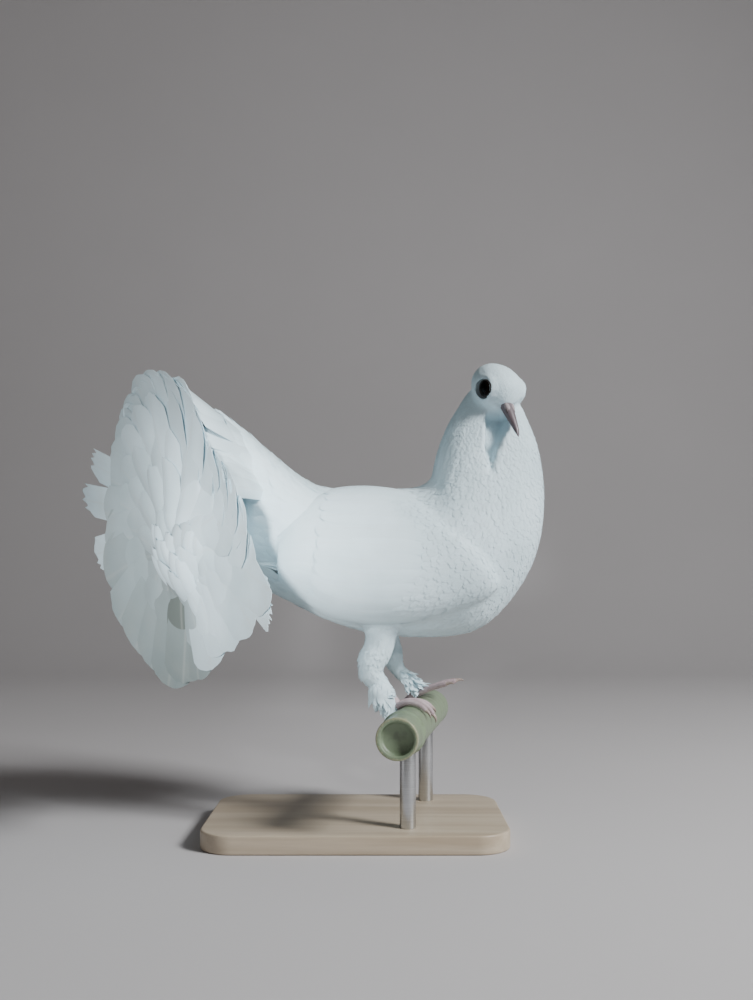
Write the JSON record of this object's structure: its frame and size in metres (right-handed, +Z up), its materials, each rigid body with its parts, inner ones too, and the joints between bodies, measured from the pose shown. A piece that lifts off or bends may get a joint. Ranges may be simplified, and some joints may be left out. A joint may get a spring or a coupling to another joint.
{
  "type": "fantail pigeon",
  "caption": "Life-size white fantail pigeon with its tail raised in a fan, standing across a cut length of bamboo on a small display stand",
  "frame": {"origin": "Middle of the underside of the bounding box; the stand's base rests on z = 0", "axes": "+X is the way the bird's body faces, +Y its left side and +Z up. The box is shortest along Y, and the underside of the stand faces -Z."},
  "size_m": [0.3208, 0.2066, 0.3023],
  "materials": {
    "plumage": "soft white feathers",
    "bill": "smooth horn, pinkish grey, with a pale cere",
    "eye": "wet, very dark brown",
    "foot_skin": "scaled pink skin",
    "claw": "smooth pale horn",
    "bamboo": "worn green to straw-yellow bamboo",
    "stand_wood": "plain pale satin wood",
    "stand_rod": "brushed steel"
  },
  "bodies": {
    "root": {"torso": "plumage", "neck": "plumage", "head": "plumage", "bill_upper": "bill", "bill_lower": "bill", "eye_right": "eye", "eye_left": "eye", "wing_right": "plumage", "wing_left": "plumage", "tail": "plumage", "leg_right": "plumage", "leg_left": "plumage", "foot_right": "foot_skin", "foot_left": "foot_skin", "claw_right_inner": "claw", "claw_right_middle": "claw", "claw_right_outer": "claw", "claw_right_hind": "claw", "claw_left_inner": "claw", "claw_left_middle": "claw", "claw_left_outer": "claw", "claw_left_hind": "claw", "perch": "bamboo", "stand_base": "stand_wood", "stand_rod_near": "stand_rod", "stand_rod_far": "stand_rod"}
  },
  "joints": []
}
